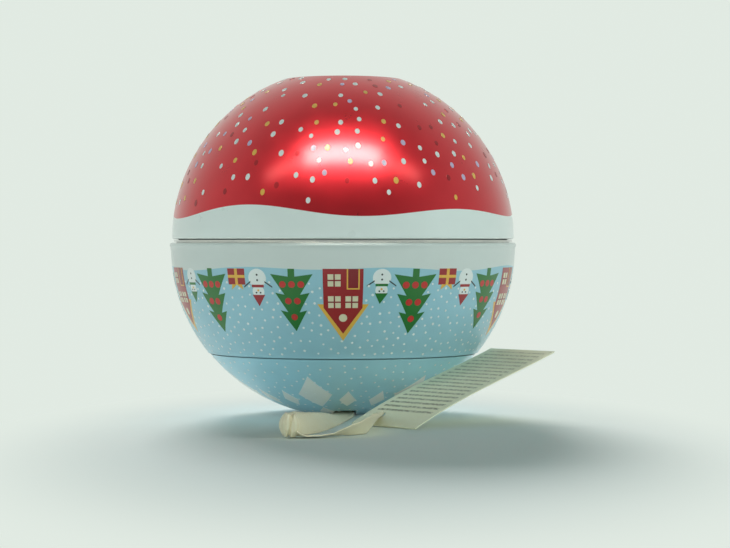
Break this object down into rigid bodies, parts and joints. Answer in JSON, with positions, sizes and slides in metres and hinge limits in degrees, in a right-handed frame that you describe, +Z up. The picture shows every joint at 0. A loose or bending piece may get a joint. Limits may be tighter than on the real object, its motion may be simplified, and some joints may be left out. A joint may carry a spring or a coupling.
{
  "type": "ball-shaped tin",
  "caption": "Ball-shaped keepsake tin: printed cap and middle tier, enamelled base bowl, ribbon hanging loop and card tag.",
  "frame": {"origin": "on the tin's axis, at the level it stands on, below the middle of the cap's standing flat", "axes": "+Z up along the tin's axis from the cap at the bottom to the flat base at the top; -Y is the front, where the ribbon loop lies; +X is the side where the tag leans"},
  "size_m": [0.1097, 0.139, 0.0969],
  "materials": {
    "red_enamel": "satin metallic red enamel with small printed dots and a white margin",
    "band_print": "satin print in snow white and pale blue with a village frieze",
    "cap_print": "satin pale blue print with snow dots and a large pale snowflake",
    "bare_tinplate": "plain lacquered tinplate",
    "cream_ribbon": "soft woven satin ribbon",
    "cream_card": "uncoated cream card"
  },
  "bodies": {
    "cap": {"top_cap": "cap_print", "hanging_ribbon": "cream_ribbon", "ribbon_knot": "cream_ribbon", "swing_tag": "cream_card"},
    "middle_tier": {"middle_wall": "band_print", "middle_floor": "bare_tinplate"},
    "base": {"base_bowl": "red_enamel"}
  },
  "joints": [
    {"name": "middle_lift", "type": "slide", "parent": "cap", "child": "middle_tier", "axis": [0, 0, 1], "range_m": [0, 0.045]},
    {"name": "base_lift", "type": "slide", "parent": "middle_tier", "child": "base", "axis": [0, 0, 1], "range_m": [0, 0.05]}
  ]
}
